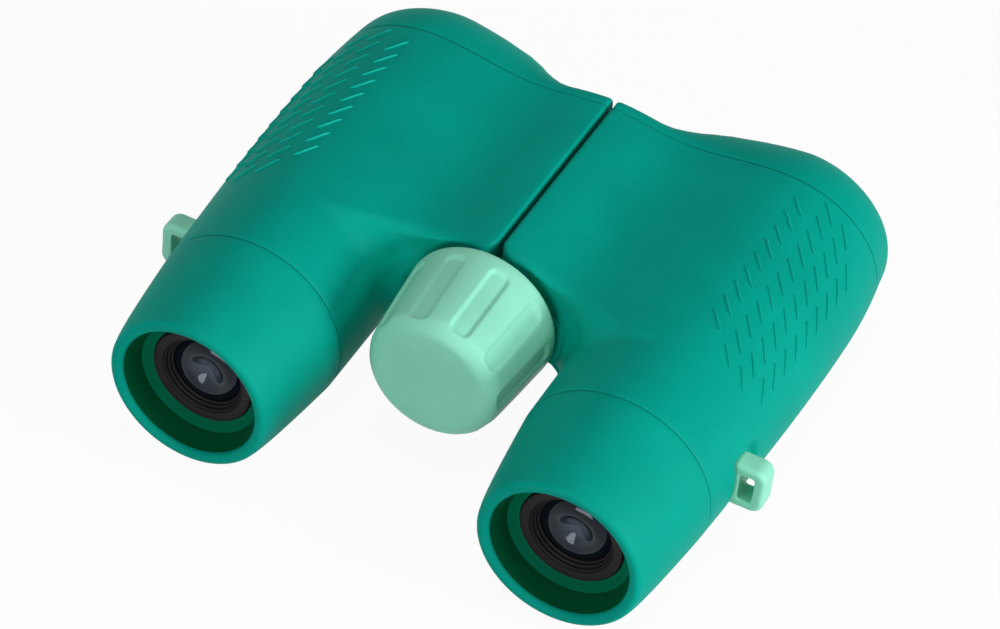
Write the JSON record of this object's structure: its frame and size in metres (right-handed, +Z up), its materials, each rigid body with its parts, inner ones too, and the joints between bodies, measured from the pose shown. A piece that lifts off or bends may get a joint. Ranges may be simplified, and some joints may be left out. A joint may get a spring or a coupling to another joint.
{
  "type": "binoculars",
  "caption": "Compact roof-prism binoculars: two teal barrels on a folding centre hinge, soft eyecups, strap lugs and a pale focus knob that drives both objectives.",
  "frame": {"origin": "on the resting surface, in the middle of the opened binoculars, under the hinge plane", "axes": "+X across from the left barrel to the user's right barrel, +Y from the eyecups to the objectives, +Z up"},
  "size_m": [0.1134, 0.098, 0.0351],
  "materials": {
    "teal_shell": "soft-touch satin",
    "teal_rubber": "matt moulded rubber",
    "mint_plastic": "satin",
    "black_plastic": "matt",
    "black_rubber": "matt",
    "steel": "turned",
    "brass": "turned",
    "lens_glass": "polished, coated"
  },
  "bodies": {
    "right_half": {"right_housing": "teal_shell", "right_front_cover": "teal_shell", "right_eyecup": "teal_rubber", "right_eyepiece_barrel": "black_plastic", "right_bezel_ring": "black_plastic", "right_eye_lens": "lens_glass", "right_lens_spacer": "black_plastic", "right_field_lens": "lens_glass", "right_prism_holder": "black_plastic", "right_roof_prism": "lens_glass", "right_half_penta_prism": "lens_glass", "right_prism_screws": "steel", "right_strap_lug": "mint_plastic", "hinge_tube": "steel", "hinge_pin": "steel", "hinge_end_cap": "teal_shell", "hinge_screw": "steel"},
    "right_objective": {"right_objective_cell": "black_plastic", "right_objective_lens": "lens_glass", "right_objective_retainer": "black_plastic"},
    "left_half": {"left_housing": "teal_shell", "left_front_cover": "teal_shell", "left_eyecup": "teal_rubber", "left_eyepiece_barrel": "black_plastic", "left_bezel_ring": "black_plastic", "left_eye_lens": "lens_glass", "left_lens_spacer": "black_plastic", "left_field_lens": "lens_glass", "left_prism_holder": "black_plastic", "left_roof_prism": "lens_glass", "left_half_penta_prism": "lens_glass", "left_prism_screws": "steel", "left_strap_lug": "mint_plastic"},
    "left_objective": {"left_objective_cell": "black_plastic", "left_objective_lens": "lens_glass", "left_objective_retainer": "black_plastic"},
    "focus_knob": {"focus_knob": "mint_plastic", "focus_spindle": "brass", "spindle_clip": "steel", "knob_washer": "black_rubber"},
    "focus_carriage": {"focus_carriage": "brass"}
  },
  "joints": [
    {"name": "fold", "type": "hinge", "parent": "right_half", "child": "left_half", "pos_m": [0, 0.00025, 0.0214], "axis": [0, -1, 0], "range_deg": [0, 56]},
    {"name": "focus_turn", "type": "hinge", "parent": "right_half", "child": "focus_knob", "pos_m": [0, 0.00025, 0.0214], "axis": [0, 1, 0], "range_deg": [-275, 275]},
    {"name": "carriage_slide", "type": "slide", "parent": "right_half", "child": "focus_carriage", "axis": [0, 1, 0], "range_m": [-0.0018, 0.0018]},
    {"name": "right_objective_slide", "type": "slide", "parent": "right_half", "child": "right_objective", "axis": [0, 1, 0], "range_m": [-0.00185, 0.00185]},
    {"name": "left_objective_slide", "type": "slide", "parent": "left_half", "child": "left_objective", "axis": [0, 1, 0], "range_m": [-0.00185, 0.00185]}
  ],
  "couplings": [
    {"joint": "focus_turn", "follows": "carriage_slide", "rad_per_m": 2618},
    {"joint": "right_objective_slide", "follows": "carriage_slide", "ratio": 1},
    {"joint": "left_objective_slide", "follows": "carriage_slide", "ratio": 1}
  ]
}
